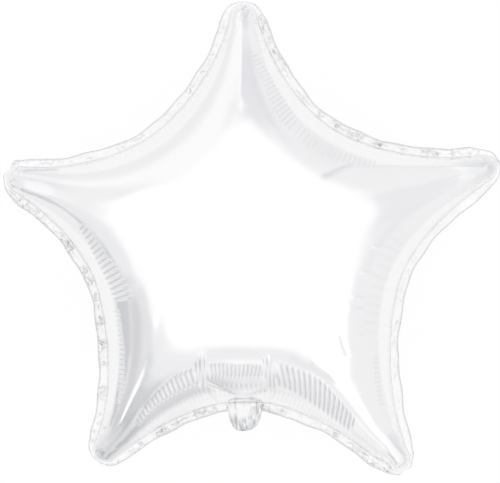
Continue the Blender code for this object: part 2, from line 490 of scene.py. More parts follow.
TOP_RIGHT_VALLEY_PLEATS = (
    PleatGroup(
        4,
        (
            (-0.052, 0.0150, 0.0195),
            (-0.032, 0.0142, 0.0245),
            (-0.003, 0.0175, 0.0307),
            (0.024, 0.0155, 0.0297),
        ),
        4.1 * MM,
        0.3 * MM,
    ),
    PleatGroup(
        4,
        (
            (0.0210, 0.0155, 0.0297),
            (0.0455, 0.0110, 0.0290),
            (0.0650, 0.0094, 0.0225),
            (0.0980, 0.0110, 0.0180),
        ),
        3.8 * MM,
        0.4 * MM,
    ),
)

FRONT_PLEATS = LEFT_VALLEY_PLEATS + BOTTOM_VALLEY_PLEATS + RIGHT_VALLEY_PLEATS + TOP_RIGHT_VALLEY_PLEATS

BACK_PLEATS = tuple(
    PleatGroup(
        valley,
        ((-0.080, 0.014, 0.024), (0.0, 0.014, 0.036), (0.080, 0.014, 0.024)),
        4.2 * MM,
        1.1 * MM,
    )
    for valley in range(5)
)

# Folds on the arms; the soft shade and the right arm's ridge paint shade into the film's colour.
ARM_FOLDS = (
    Fold((243, 14), (241, 110), 4 * MM, 1.2 * MM),
    soft_shade((296, 132), (352, 166), 9.0 * MM, 0.16, taper=3.0),
    Fold((492, 167), (335, 165), 2.2 * MM, 1.3 * MM, mark=0.12),
)

# Creases beside the neck: ridges, and painted shade for the dark lines between them.
NECK_CREASES = (
    Fold((197.5, 376), (196.5, 354), 1.0 * MM, 0.5 * MM),
    Fold((199.8, 384), (198.8, 353), 0.8 * MM, 0.0, mark=0.45),
    Fold((201.8, 390), (200.8, 351), 1.0 * MM, 0.8 * MM),
    Fold((204.0, 388), (203.0, 353), 0.8 * MM, 0.0, mark=0.45),
    Fold((206.2, 390), (205.2, 354), 1.0 * MM, 0.5 * MM),
    Fold((265, 380), (264, 355), 1.0 * MM, 0.5 * MM),
    Fold((267.2, 396), (266.2, 354), 0.8 * MM, 0.0, mark=0.4),
    Fold((269, 402), (268, 352), 1.0 * MM, 0.8 * MM),
    Fold((271.2, 398), (270.4, 356), 0.8 * MM, 0.0, mark=0.4),
    Fold((273, 398), (272.5, 358), 1.0 * MM, 0.5 * MM),
)

# The V fold below the neck: ridges, and grooves with painted shade along them.
V_FOLD = (
    Fold((203, 381), (243, 399), 1.1 * MM, 1.6 * MM),
    Fold((205, 380), (243, 396), 1.0 * MM, -0.6 * MM, mark=0.6),
    Fold((238, 399), (268, 391), 1.1 * MM, 1.6 * MM),
    Fold((238, 396), (268, 388), 1.0 * MM, -0.6 * MM, mark=0.5),
    Fold((205, 389), (229, 413), 1.4 * MM, 0.8 * MM, mark=0.35),
    Fold((277, 391), (261, 411), 1.4 * MM, 0.8 * MM, mark=0.35),
)

# A streak right of the neck: a soft painted shade round a low ridge.
STREAK_BY_NECK = (
    soft_shade((286, 352), (340, 382), 5.0 * MM, 0.22),
    Fold((309, 358), (338, 381), 2.0 * MM, 0.6 * MM),
)

# Short grooves, the first two with painted shade along them.
SHORT_GROOVES = (
    Fold((320, 177), (356, 162), 1.4 * MM, -1.2 * MM, mark=0.45),
    Fold((19, 171), (62, 169), 1.3 * MM, -1.2 * MM, mark=0.9),
    Fold((340, 334), (348, 358), 1.4 * MM, -0.7 * MM),
)

# Soft painted shade on the tips and flanks, with no height: darker film colour standing in for darker
# reflections.
TIP_AND_FLANK_SHADES = (
    soft_shade((80, 486), (150, 404), 11.0 * MM, 0.85, taper=3.0),
    soft_shade((6, 174), (78, 189), 8.0 * MM, 0.3, taper=2.4),
    soft_shade((450, 174), (512, 166), 8.0 * MM, 0.5, taper=2.4),
    soft_shade((244, 388), (245, 425), 12.0 * MM, 0.28),
    soft_shade((116, 452), (212, 394), 5.5 * MM, 0.24, taper=3.0),
    soft_shade((278, 398), (392, 458), 5.5 * MM, 0.2, taper=3.0),
    soft_shade((414, 478), (388, 430), 5.0 * MM, 0.3),
    soft_shade((206, 376), (246, 396), 5.0 * MM, 0.4),
)

RIGHT_VALLEY_CREASES = (
    Fold((372, 247), (394, 247), 1.0 * MM, 0.6 * MM),
    Fold((360, 273), (386, 273), 1.0 * MM, 0.7 * MM),
    Fold((350, 297), (378, 300), 1.0 * MM, 0.6 * MM),
    Fold((346, 309), (380, 309), 1.0 * MM, 0.8 * MM),
    Fold((356, 336), (382, 335), 1.0 * MM, 0.6 * MM),
)

FRONT_FOLDS = (
    *ARM_FOLDS,
    *NECK_CREASES,
    *V_FOLD,
    *STREAK_BY_NECK,
    *SHORT_GROOVES,
    *TIP_AND_FLANK_SHADES,
    *RIGHT_VALLEY_CREASES,
)


class TreeBuilder:
    """Shorthand for building a node tree."""

    def __init__(self, tree: bpy.types.NodeTree) -> None:
        """Keeps the tree that the nodes go into."""
        self.tree = tree

    def node(self, kind: str, **settings: object) -> bpy.types.Node:
        """Adds a node of a kind, with its settings."""
        made = self.tree.nodes.new(kind)
        for name, value in settings.items():
            setattr(made, name, value)
        return made

    def put(self, socket: bpy.types.NodeSocket, value: object) -> None:
        """Links a socket to another, or sets it to a plain value."""
        if isinstance(value, bpy.types.NodeSocket):
            self.tree.links.new(value, socket)
        else:
            socket.default_value = value

    def math(self, operation: str, *values: object) -> bpy.types.NodeSocket:
        """Adds a Math node with its values, and gives its result."""
        made = self.node("ShaderNodeMath", operation=operation)
        for socket, value in zip(made.inputs, values):
            self.put(socket, value)
        return made.outputs[0]

    def attribute(self, name: str) -> bpy.types.NodeSocket:
        """Reads a number that the mesh carries."""
        made = self.node("GeometryNodeInputNamedAttribute", data_type="FLOAT")
        made.inputs["Name"].default_value = name
        return made.outputs["Attribute"]

    def noise(self, vector: object, scale: object, seed: object, detail: float) -> bpy.types.NodeSocket:
        """Noise between 0 and 1 at a place.

        Args:
            vector: Socket of the place.
            scale: Features in a metre.
            seed: Number that picks the noise.
            detail: Octaves of finer noise.

        Returns:
            The noise's value.
        """
        made = self.node("ShaderNodeTexNoise", noise_dimensions="4D")
        self.put(made.inputs["Vector"], vector)
        self.put(made.inputs["W"], seed)
        self.put(made.inputs["Scale"], scale)
        made.inputs["Detail"].default_value = detail
        return made.outputs[0]

    def combine(self, x: object, y: object, z: object) -> bpy.types.NodeSocket:
        """Adds a Combine XYZ node."""
        made = self.node("ShaderNodeCombineXYZ")
        for socket, value in zip(made.inputs, (x, y, z)):
            self.put(socket, value)
        return made.outputs[0]

    def vector_math(self, operation: str, first: object, second: object) -> bpy.types.Node:
        """Adds a Vector Math node for two vectors."""
        made = self.node("ShaderNodeVectorMath", operation=operation)
        self.put(made.inputs[0], first)
        self.put(made.inputs[1], second)
        return made

    def inverse(self, value: object) -> bpy.types.NodeSocket:
        """Divides 1 by a value, as for a scale from a size."""
        return self.math("DIVIDE", 1.0, value)

    def centred(self, value: object, amount: object) -> bpy.types.NodeSocket:
        """Moves a value of 0 to 1 to lie round 0, times an amount."""
        return self.math("MULTIPLY", self.math("SUBTRACT", value, 0.5), amount)

    def cells(self, vector: object, scale: object, feature: str) -> bpy.types.Node:
        """Adds a Voronoi node that splits a flat sheet into cells."""
        made = self.node("ShaderNodeTexVoronoi", voronoi_dimensions="2D", feature=feature)
        self.put(made.inputs["Vector"], vector)
        self.put(made.inputs["Scale"], scale)
        return made

    def mix_colours(self, factor: object, first: object, second: object) -> bpy.types.NodeSocket:
        """Mixes two colours, each a socket or four numbers."""
        made = self.node("ShaderNodeMix", data_type="RGBA")
        self.put(made.inputs["Factor"], factor)
        colours = (socket for socket in made.inputs if socket.type == "RGBA")
        for socket, colour in zip(colours, (first, second)):
            self.put(socket, colour)
        return next(socket for socket in made.outputs if socket.type == "RGBA")


class GeometryTree:
    """A Geometry Nodes tree with named inputs, which is applied to a mesh and then removed."""

    def __init__(self, name: str, numbers: dict[str, float]) -> None:
        """Makes the tree's inputs and outputs.

        Args:
            name: Name of the tree.
            numbers: Named inputs with their usual values.
        """
        self.group = bpy.data.node_groups.new(name, "GeometryNodeTree")
        face = self.group.interface
        face.new_socket("Geometry", in_out="INPUT", socket_type="NodeSocketGeometry")
        self.sockets: dict[str, str] = {}
        for label, value in numbers.items():
            socket = face.new_socket(label, in_out="INPUT", socket_type="NodeSocketFloat")
            socket.default_value = value
            self.sockets[label] = socket.identifier
        finish = face.new_socket("Finish", in_out="INPUT", socket_type="NodeSocketMaterial")
        self.sockets["Finish"] = finish.identifier
        face.new_socket("Geometry", in_out="OUTPUT", socket_type="NodeSocketGeometry")
        self.build = TreeBuilder(self.group)
        self.entry = self.build.node("NodeGroupInput")

    def number(self, label: str) -> bpy.types.NodeSocket:
        """Socket of a named input."""
        return self.entry.outputs[label]

    def close(self, offset: bpy.types.NodeSocket, shade: bpy.types.NodeSocket) -> None:
        """Moves the points, keeps their painted shade for the finish and ends the tree.

        Args:
            offset: How far each point moves.
            shade: How dark a shade is painted into each point's colour, from 0 to 1.
        """
        build = self.build
        kept = build.node("GeometryNodeStoreNamedAttribute", data_type="FLOAT", domain="POINT")
        kept.inputs["Name"].default_value = "shade"
        build.put(kept.inputs["Geometry"], self.entry.outputs["Geometry"])
        build.put(kept.inputs["Value"], shade)
        moved = build.node("GeometryNodeSetPosition")
        build.put(moved.inputs["Geometry"], kept.outputs["Geometry"])
        build.put(moved.inputs["Offset"], offset)
        real = build.node("GeometryNodeRealizeInstances")
        build.put(real.inputs["Geometry"], moved.outputs["Geometry"])
        dressed = build.node("GeometryNodeSetMaterial")
        build.put(dressed.inputs["Geometry"], real.outputs["Geometry"])
        build.put(dressed.inputs["Material"], self.entry.outputs["Finish"])
        out = build.node("NodeGroupOutput")
        build.put(out.inputs["Geometry"], dressed.outputs["Geometry"])

    def apply(self, name: str, mesh: bpy.types.Mesh, values: dict[str, object]) -> bpy.types.Object:
        """Runs the tree over a mesh and keeps the result as a plain mesh.

        Args:
            name: Name of the finished piece.
            mesh: The mesh to work on, which is removed.
            values: The named inputs' values.

        Returns:
            The finished piece's object.
        """
        holder = bpy.data.objects.new(name + "_plain", mesh)
        bpy.context.scene.collection.objects.link(holder)
        modifier = holder.modifiers.new(self.group.name, "NODES")
        modifier.node_group = self.group
        for label, value in values.items():
            modifier[self.sockets[label]] = value
        graph = bpy.context.evaluated_depsgraph_get()
        result = bpy.data.meshes.new_from_object(holder.evaluated_get(graph), depsgraph=graph)
        bpy.data.objects.remove(holder)
        bpy.data.meshes.remove(mesh)
        result.name = name
        result.shade_smooth()
        piece = bpy.data.objects.new(name, result)
        bpy.context.scene.collection.objects.link(piece)
        return piece


def pleated_film_tree() -> GeometryTree:
    """Tree that gathers a panel into rounded pleats with sharp grooves, and crinkles its edge.

    It paints shade into the film's colour in the grooves, at the crinkles and along the folds.
    """
    tree = GeometryTree(
        "pleated_film",
        {
            "Wander": 0.26,
            "Wander Size": 0.02,
            "Depth Change": 0.9,
            "Depth Change Scale": 110.0,
            "Wave Middle": 0.64,
            "Groove Sharpness": 1.1,
            # Pleat depth at which the grooves' painted shade is full.
            "Full Depth": 0.0009,
            "Crinkle Depth": 0.0012,
            "Crinkle Size": 0.006,
            # The next three set the painted shade at the crinkles.
            "Spot Scale": 420.0,
            "Spot Threshold": 0.56,
            "Spot Strength": 5.0,
            "Seed": 1.0,
        },
    )
    build, number = tree.build, tree.number
    place = build.node("GeometryNodeInputPosition").outputs[0]
    wander = build.noise(place, build.inverse(number("Wander Size")), number("Seed"), 1.0)
    phase = build.math("ADD", build.attribute("pleat_phase"), build.centred(wander, number("Wander")))
    wave = build.math("ABSOLUTE", build.math("SINE", build.math("MULTIPLY", phase, math.pi)))
    depth_seed = build.math("ADD", number("Seed"), DEPTH_SEED_STEP)
    uneven = build.noise(place, number("Depth Change Scale"), depth_seed, 0.0)
    uneven = build.math("ADD", build.centred(uneven, number("Depth Change")), 1.0)
    depth = build.math("MULTIPLY", build.attribute("pleat_depth"), uneven)
    pleats = build.math("MULTIPLY", build.math("SUBTRACT", wave, number("Wave Middle")), depth)
    crinkle = build.noise(place, build.inverse(number("Crinkle Size")), number("Seed"), 2.0)
    crinkle = build.centred(crinkle, number("Crinkle Depth"))
    crinkle = build.math("MULTIPLY", crinkle, build.attribute("crinkle"))
    offset = build.node("ShaderNodeVectorMath", operation="SCALE")
    build.put(offset.inputs[0], build.node("GeometryNodeInputNormal").outputs[0])
    build.put(offset.inputs["Scale"], build.math("ADD", pleats, crinkle))
    # Painted shade in the pleats' grooves, darkest at the sharp bottom of each.
    groove = build.math("POWER", build.math("SUBTRACT", 1.0, wave), number("Groove Sharpness"))
    deep = build.math("MINIMUM", build.math("DIVIDE", depth, number("Full Depth")), 1.0)
    groove = build.math("MULTIPLY", groove, deep)
    # Painted shade in small dark patches where the film crinkles.
    crinkle_shade = build.noise(place, number("Spot Scale"), SPOT_SEED, 1.0)
    crinkle_shade = build.math("MAXIMUM", build.math("SUBTRACT", crinkle_shade, number("Spot Threshold")), 0.0)
    crinkle_shade = build.math("MULTIPLY", crinkle_shade, number("Spot Strength"))
    crinkle_shade = build.math("MULTIPLY", crinkle_shade, build.attribute("crinkle"))
    # All the painted shade: grooves, crinkles and the folds' lines.
    shade = build.math("MAXIMUM", groove, build.math("MAXIMUM", crinkle_shade, build.attribute("line")))
    tree.close(offset.outputs[0], build.math("MINIMUM", shade, 1.0))
    return tree


def crumpled_margin_tree() -> GeometryTree:
    """Tree that ripples the welded margin, breaks it into tilted facets and curls its rim down.

    It paints shade into the film's colour along the facets' creases, on some facets and on the rim.
    """
    tree = GeometryTree(
        "crumpled_margin",
        {
            "Ripple Length": 0.026,
            "Ripple Height": 0.002,
            "Facet Size": 0.0055,
            "Facet Slope": 0.9,
            "Patch Scale": 60.0,
            "Patch Threshold": 0.36,
            "Patch Strength": 5.0,
            "Least Patch": 0.15,
            # The three Shade inputs set painted shade in the film's colour.
            "Crease Width": 0.24,
            "Crease Shade": 0.5,
            "Dull Shade": 0.9,
            "Curl Depth": 0.0012,
            "Rim Shade": 0.6,
            "Seed": 1.0,
        },
    )
    build, number = tree.build, tree.number
    sheet = build.combine(build.attribute("weld_run"), build.attribute("weld_out"), 0.0)
    ripple = build.noise(sheet, build.inverse(number("Ripple Length")), number("Seed"), 1.0)
    ripple = build.centred(ripple, number("Ripple Height"))
    facet_scale = build.inverse(number("Facet Size"))
    cells = build.cells(sheet, facet_scale, "F1")
    from_middle = build.vector_math("SUBTRACT", sheet, cells.outputs["Position"])
    tilt = build.vector_math("SUBTRACT", cells.outputs["Color"], (0.5, 0.5, 0.5))
    facet = build.vector_math("DOT_PRODUCT", from_middle.outputs[0], tilt.outputs[0])
    patch_seed = build.math("ADD", number("Seed"), PATCH_SEED_STEP)
    patches = build.noise(sheet, number("Patch Scale"), patch_seed, 0.0)
    patches = build.math("SUBTRACT", patches, number("Patch Threshold"))
    patches = build.math("MULTIPLY", patches, number("Patch Strength"))
    patches = build.math("MAXIMUM", build.math("MINIMUM", patches, 1.0), number("Least Patch"))
    patches = build.math("MULTIPLY", patches, build.attribute("crumple"))
    folds = build.math("MULTIPLY", facet.outputs["Value"], patches)
    folds = build.math("MULTIPLY", folds, number("Facet Slope"))
    freedom = build.attribute("freedom")
    height = build.math("MULTIPLY", build.math("ADD", ripple, folds), freedom)
    rim = build.attribute("curl")
    curl = build.math("MULTIPLY", rim, number("Curl Depth"))
    # Painted shade along the creases between the facets.
    to_edge = build.cells(sheet, facet_scale, "DISTANCE_TO_EDGE").outputs["Distance"]
    crease = build.math("SUBTRACT", 1.0, build.math("DIVIDE", to_edge, number("Crease Width")))
    crease = build.math("MULTIPLY", build.math("MAXIMUM", crease, 0.0), number("Crease Shade"))
    # Painted shade on some facets, picked at random by each cell's colour.
    cell_channels = build.node("ShaderNodeSeparateXYZ")
    build.put(cell_channels.inputs[0], cells.outputs["Color"])
    dark_facet_shade = build.centred(cell_channels.outputs["Z"], number("Dull Shade"))
    crumple_shade = build.math("MAXIMUM", crease, dark_facet_shade)
    crumple_shade = build.math("MULTIPLY", crumple_shade, build.math("MULTIPLY", patches, freedom))
    # Painted shade where the rim curls down, which also stands for the grey of the film's cut edge.
    rim_shade = build.math("MULTIPLY", rim, number("Rim Shade"))
    shade = build.math("MINIMUM", build.math("MAXIMUM", rim_shade, crumple_shade), 1.0)
    tree.close(build.combine(0.0, 0.0, build.math("SUBTRACT", height, curl)), shade)
    return tree


def quads(*corners: np.ndarray) -> list[tuple[int, ...]]:
    """Faces from lists of point numbers, one list for each corner."""
    return list(map(tuple, np.column_stack(corners).tolist()))


def plain_mesh(
    name: str, points: np.ndarray, faces: list[tuple[int, ...]], numbers: dict[str, np.ndarray]
) -> bpy.types.Mesh:
    """Makes a mesh that carries named numbers on its points.

    Args:
        name: Name of the mesh.
        points: Places of the points.
        faces: Faces as tuples of point numbers.
        numbers: Numbers to carry, one for each point.

    Returns:
        The mesh.
    """
    mesh = bpy.data.meshes.new(name)
    mesh.from_pydata(points.tolist(), [], faces)
    for label, values in numbers.items():
        attribute = mesh.attributes.new(label, "FLOAT", "POINT")
        attribute.data.foreach_set("value", np.ascontiguousarray(values, dtype=np.float32))
    mesh.update()
    return mesh


@dataclass
class Panel:
    """One star-shaped panel of film, from the weld line to its crown."""

    side: Side
    film: BlownFilm
    columns: Columns
    weld_height: float
    rest_height: float
    neck: Neck
    pleats: tuple[PleatGroup, ...]
    folds: tuple[Fold, ...]
    seed: float
    edge_stations: int = 48
    crown_stations: int = 20
    station_power: float = 1.15
    edge_share: float = 0.50
    crown_step: int = 4
    half_film: float = 0.0002
    edge_fade: float = 0.003
    tip_from: float = 0.55
    tip_span: float = 0.4
    crinkle_middle: float = 0.004
    crinkle_spread: float = 0.006
    crinkle_start: float = 0.002
    crinkle_share: float = 0.25
    tip_spread: float = 0.004
    tip_share: float = 1.1

    def stations(self) -> np.ndarray:
        """Places along the columns: close together at the weld line and wider over the crown."""
        edge = np.linspace(0, 1, self.edge_stations) ** self.station_power * self.edge_share
        crown = np.linspace(self.edge_share, 1, self.crown_stations + 1)[1:]
        return np.concatenate([edge, crown])

    def surface(self) -> tuple[np.ndarray, np.ndarray, np.ndarray]:
        """Points of the panel above the weld plane, with their distances inward.

        Also the shade that the folds paint into the film's colour at each point.
        """
        surface = self.film.surface(self.columns, self.stations())
        steps = np.linalg.norm(np.diff(surface[..., :2], axis=1), axis=2)
        inward = np.concatenate([np.zeros((len(steps), 1)), np.cumsum(steps, axis=1)], axis=1)
        edge_fade = smooth_step(inward / self.edge_fade)
        seen = surface[..., :2] * (PHOTO_DISTANCE / (PHOTO_DISTANCE - surface[..., 2:]))
        # Painted shade along the folds, carried to the tree as the line attribute.
        line = np.zeros_like(inward)
        for fold in self.folds:
            profile = fold.profile_at(seen) * edge_fade
            surface[..., 2] += fold.height * profile
            line = np.maximum(line, fold.mark * profile)
        puff = self.half_film + (self.neck.half_thickness - self.half_film) * self.neck.swell(self.columns)
        surface[..., 2] += puff[:, None] * (1 - self.stations()) ** self.film.edge_fade_power
        return surface, inward, line

    def numbers(self, surface: np.ndarray, inward: np.ndarray, line: np.ndarray) -> dict[str, np.ndarray]:
        """What the tree needs at each point: the pleats' count and depth, the crinkles' share
        and the shade that the folds paint into the film's colour.
        """
        depth = np.zeros_like(inward)
        phase = np.zeros_like(inward)
        edge = slice(None, self.edge_stations)
        places = WeldPlaces.find(self.columns, surface[:, edge, :2])
        for group in self.pleats:
            here = group.depth_at(places)
            stronger = here > depth[:, edge]
            depth[:, edge][stronger] = here[stronger]
            phase[:, edge][stronger] = group.phase_at(places)[stronger]
        tip = smooth_step((self.columns.share - self.tip_from) / self.tip_span)[:, None]
        spread = self.crinkle_spread + self.tip_spread * tip
        near = np.exp(-(((inward - self.crinkle_middle) / spread) ** 2))
        near = near * smooth_step(inward / self.crinkle_start)
        # The crinkles' share, which sets their height and their painted shade.
        crinkle = near * (self.crinkle_share + self.tip_share * tip)
        return {"pleat_depth": depth, "pleat_phase": phase, "crinkle": crinkle, "line": line}

    def faces(self, count: int, rings: int) -> tuple[np.ndarray, list[tuple[int, ...]]]:
        """Faces of the panel, with one column in a few running on over the crown.

        Args:
            count: Columns at the weld line.
            rings: Stations along each column.

        Returns:
            Which points of the grid are kept, as a mask of columns by stations, and the faces.
        """
        kept = np.ones((count, rings), dtype=bool)
        kept[:, self.edge_stations :] = False
        kept[:: self.crown_step, self.edge_stations :] = True
        number = np.full((count, rings), -1)
        number[kept] = np.arange(kept.sum())
        faces: list[tuple[int, ...]] = []
        following = np.roll(number, -1, axis=0)
        for ring in range(self.edge_stations - 1):
            inner = ring + 1
            faces += quads(number[:, ring], following[:, ring], following[:, inner], number[:, inner])
        coarse = number[:: self.crown_step]
        beyond = np.roll(coarse, -1, axis=0)
        last = self.edge_stations - 1
        fine = np.append(number[:, last], number[0, last])
        for cell in range(len(coarse)):
            outer = fine[cell * self.crown_step : (cell + 1) * self.crown_step + 1].tolist()
            near, far = int(coarse[cell, last + 1]), int(beyond[cell, last + 1])
            half = self.crown_step // 2
            faces.extend((outer[step], outer[step + 1], near) for step in range(half))
            faces.append((near, outer[half], far))
            faces.extend((outer[step], outer[step + 1], far) for step in range(half, self.crown_step))
        for ring in range(last + 1, rings - 1):
            inner = ring + 1
            faces += quads(coarse[:, ring], beyond[:, ring], beyond[:, inner], coarse[:, inner])
        middle = int(kept.sum())
        faces.extend((int(a), int(b), middle) for a, b in zip(coarse[:, -1], beyond[:, -1]))
        return kept, faces

    def build(self, tree: GeometryTree, finish: bpy.types.Material) -> bpy.types.Object:
        """Builds the panel and gathers its film.

        Args:
            tree: The tree that pleats and crinkles it.
            finish: Its material.

        Returns:
            The panel's object.
        """
        surface, inward, line = self.surface()
        numbers = self.numbers(surface, inward, line)
        kept, faces = self.faces(*inward.shape)
        points = np.vstack([surface[kept], [[0.0, 0.0, self.film.half_thickness]]])
        points[:, 2] = self.weld_height + self.side.value * points[:, 2]
        if self.side is Side.BACK:
            points[:, 2] = np.maximum(points[:, 2], self.rest_height)
            faces = [face[::-1] for face in faces]
        carried = {label: np.append(values[kept], 0.0) for label, values in numbers.items()}
        name = self.side.name.lower() + "_panel"
        mesh = plain_mesh(name, points, faces, carried)
        return tree.apply(name, mesh, {"Seed": self.seed, "Finish": finish})


@dataclass
class WeldedMargin:
    """The flat margin outside the weld line, where the two films are sealed, and the neck's tab."""

    columns: Columns
    weld_height: float
    neck: Neck
    width: float = 0.0082
    thickness: float = 0.0004
    tip_width: float = 0.0021
    narrows_from: float = 0.8
    edge_wave: float = 0.0008
    edge_waves: tuple[tuple[float, float], ...] = ((0.0071, 0.0), (0.0233, 1.3), (0.0152, 0.7))
    third_wave_share: float = 0.6
    curl_width: float = 0.0024
    free_from: float = 0.003
    stations: int = 11
    plainer_valleys: tuple[tuple[int, float], ...] = ((0, 0.5), (3, 0.35))
    tip_crumple_from: float = 0.85
    tip_crumple_span: float = 0.1
    neck_crumple: float = 0.8
    notches: tuple[tuple[float, float], ...] = ((11, 171), (490, 164), (405, 471))
    notch_depth: float = 0.0018
    notch_width: float = 0.0026
    lobe_rise: float = 0.0016
    lobe_width: float = 0.0028
    lobe_offset: float = 0.0062
    seed: float = 4.0

    def way_round(self) -> np.ndarray:
        """Distance of each column round the weld line from the first."""
        return lengths_along(np.vstack([self.columns.feet, self.columns.feet[:1]]))[:-1]

    def widths(self) -> np.ndarray:
        """Width of the margin at each column, with the tab at the neck and little round the tips."""
        whole = self.way_round()
        first, second, third = (np.sin(whole / length + start) for length, start in self.edge_waves)
        wave = first * second + self.third_wave_share * third
        narrowing = smooth_step((self.columns.share - self.narrows_from) / (1 - self.narrows_from))
        width = self.width + self.edge_wave * wave
        width = width + (self.tip_width - width) * narrowing
        for notch in self.notches:
            away = np.linalg.norm(self.columns.feet - from_photo(*notch), axis=1)
            lobe = np.exp(-(((away - self.lobe_offset) / self.lobe_width) ** 2))
            width = width + self.lobe_rise * lobe
            width = width - self.notch_depth * np.exp(-((away / self.notch_width) ** 2))
        return width + self.neck.length * self.neck.share(self.columns)

    def crumple(self) -> np.ndarray:
        """How crumpled the margin is at each column: less along some valleys, most at the neck.

        It also sets how much painted shade the margin's facets and creases get.
        """
        share = np.ones(len(self.columns.run))
        for valley, level in self.plainer_valleys:
            share[self.columns.valley == valley] = level
        tips = (self.columns.share - self.tip_crumple_from) / self.tip_crumple_span
        share = np.maximum(share, smooth_step(tips))
        return share + self.neck_crumple * self.neck.swell(self.columns)

    def outward(self) -> np.ndarray:
        """Unit directions out of the star, square to the weld line."""
        feet = self.columns.feet
        step = np.roll(feet, -1, axis=0) - np.roll(feet, 1, axis=0)
        outward = np.column_stack([step[:, 1], -step[:, 0]])
        return outward / np.linalg.norm(outward, axis=1, keepdims=True)

    def section(self) -> tuple[np.ndarray, np.ndarray, np.ndarray]:
        """Places across the margin at each column, with the rim's share and half of the thickness."""
        share = np.linspace(0, 1, self.stations)[None, :]
        width = self.widths()[:, None]
        inner = width - np.minimum(self.curl_width, width / 3)
        last = (self.stations - 3) / (self.stations - 1)
        rim = inner + (width - inner) * (share - last) / (1 - last)
        out = np.where(share <= last, inner * share / last, rim)
        curl = np.clip((out - inner) / (width - inner), 0, 1)
        puffed = self.neck.swell(self.columns)[:, None]
        flat = self.thickness / 2
        inner_half = flat + (self.neck.half_thickness - flat) * puffed
        outer_half = flat + (self.neck.tab_half_thickness - flat) * puffed
        half = inner_half + (outer_half - inner_half) * np.sin(out / width * math.pi / 2) ** 2
        return out, curl, half

    def build(self, tree: GeometryTree, finish: bpy.types.Material) -> bpy.types.Object:
        """Builds the margin as a thin band and crumples it.

        Args:
            tree: The tree that crumples it.
            finish: Its material.

        Returns:
            The margin's object.
        """
        out, curl, half = self.section()
        plan = self.columns.feet[:, None] + out[..., None] * self.outward()[:, None]
        top = np.dstack([plan, self.weld_height + half])
        bottom = np.dstack([plan, self.weld_height - half])
        band = np.concatenate([top, bottom[:, ::-1]], axis=1)
        count, around = band.shape[:2]
        number = np.arange(count * around).reshape(count, around)
        beyond = np.roll(number, -1, axis=0)
        faces: list[tuple[int, ...]] = []
        for step in range(around):
            after = (step + 1) % around
            faces += quads(number[:, step], number[:, after], beyond[:, after], beyond[:, step])
        one_film = {
            "weld_run": np.repeat(self.way_round()[:, None], self.stations, axis=1),
            "weld_out": out,
            "freedom": smooth_step(out / self.free_from),
            # The rim's share, which curls it down and paints shade on it.
            "curl": curl,
            "crumple": np.repeat(self.crumple()[:, None], self.stations, axis=1),
        }
        carried = {
            label: np.concatenate([values, values[:, ::-1]], axis=1).ravel()
            for label, values in one_film.items()
        }
        mesh = plain_mesh("welded_margin", band.reshape(-1, 3), faces, carried)
        return tree.apply("welded_margin", mesh, {"Seed": self.seed, "Finish": finish})


@dataclass(frozen=True)
class FilmFinish:
    """White metallised film: part mirror, part pale, with faint waves in its surface.

    Where the mesh's shade is high, its base colour is darkened towards the groove colour: a painted shade.
    """

    name: str
    colour: tuple[float, float, float]
    shade: tuple[float, float, float]
    metallic: float
    roughness: float
    wave_size: float
    wave_height: float
    grain_size: float
    grain_height: float
    # Colour of the painted shade that the mesh's shade attribute mixes in.
    groove: tuple[float, float, float]
    shade_share: float
    refraction: float = 1.5
    coat: float = 0.35
    coat_roughness: float = 0.05
    patch_roughness: float = 0.05

    def material(self, waves: bpy.types.NodeTree) -> bpy.types.Material:
        """Builds the finish's material.

        Args:
            waves: The group of the film's waves and grain.

        Returns:
            The material.
        """
        material = bpy.data.materials.new(self.name)
        material.use_nodes = True
        material.node_tree.nodes.clear()
        build = TreeBuilder(material.node_tree)
        shader = build.node("ShaderNodeBsdfPrincipled")
        shader.inputs["Metallic"].default_value = self.metallic
        shader.inputs["IOR"].default_value = self.refraction
        shader.inputs["Coat Weight"].default_value = self.coat
        shader.inputs["Coat Roughness"].default_value = self.coat_roughness
        film = build.node("ShaderNodeGroup", node_tree=waves)
        coordinates = build.node("ShaderNodeTexCoord")
        build.put(film.inputs["Place"], coordinates.outputs["Object"])
        film.inputs["Wave Size"].default_value = self.wave_size
        film.inputs["Grain Size"].default_value = self.grain_size
        film.inputs["Grain Share"].default_value = self.grain_height / self.wave_height
        tint = build.mix_colours(film.outputs["Patch"], (*self.colour, 1.0), (*self.shade, 1.0))
        # Painted shade: the mesh's shade darkens the base colour towards the groove colour.
        mark = build.node("ShaderNodeAttribute", attribute_type="GEOMETRY", attribute_name="shade")
        darkening = build.math("MULTIPLY", mark.outputs["Fac"], self.shade_share)
        build.put(shader.inputs["Base Color"], build.mix_colours(darkening, tint, (*self.groove, 1.0)))
        rough = build.math("MULTIPLY_ADD", film.outputs["Patch"], self.patch_roughness, self.roughness)
        build.put(shader.inputs["Roughness"], rough)
        bump = build.node("ShaderNodeBump")
        bump.inputs["Distance"].default_value = self.wave_height
        bump.inputs["Strength"].default_value = 1.0
        build.put(bump.inputs["Height"], film.outputs["Height"])
        build.put(shader.inputs["Normal"], bump.outputs["Normal"])
        out = build.node("ShaderNodeOutputMaterial")
        build.put(out.inputs["Surface"], shader.outputs["BSDF"])
        return material


